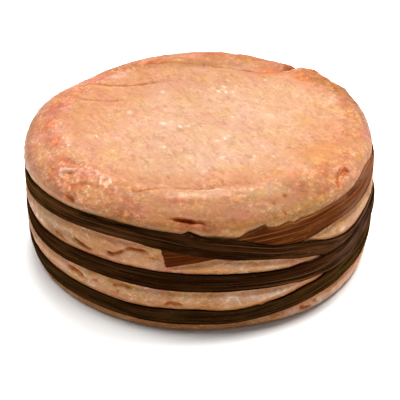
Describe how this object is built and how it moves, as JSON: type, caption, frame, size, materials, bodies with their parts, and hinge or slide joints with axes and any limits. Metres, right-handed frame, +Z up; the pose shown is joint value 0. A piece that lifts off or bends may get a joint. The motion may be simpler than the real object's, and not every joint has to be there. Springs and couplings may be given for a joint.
{
  "type": "washed-rind cheese wheel",
  "caption": "Whole washed-rind soft cheese wheel with a wrinkled salmon-coloured rind, wound round its side with flat brown sedge strips",
  "frame": {"origin": "the middle of the wheel's flat base, at the bottom centre of its bounding box", "axes": "+Z up along the wheel's axis, -Y towards the front where the cut end of the reddish strip shows, +X to the right seen from the front"},
  "size_m": [0.1215, 0.1216, 0.0477],
  "materials": {
    "rind": "moist salmon-orange washed rind, wrinkled and slightly waxy",
    "red_sedge": "dried reddish-brown sedge leaf with lengthwise fibres",
    "dark_sedge": "dried dark brown sedge leaf with lengthwise fibres and a faint sheen"
  },
  "bodies": {
    "root": {"cheese_wheel": "rind", "sedge_strip_red": "red_sedge", "sedge_strip_dark": "dark_sedge"}
  },
  "joints": []
}
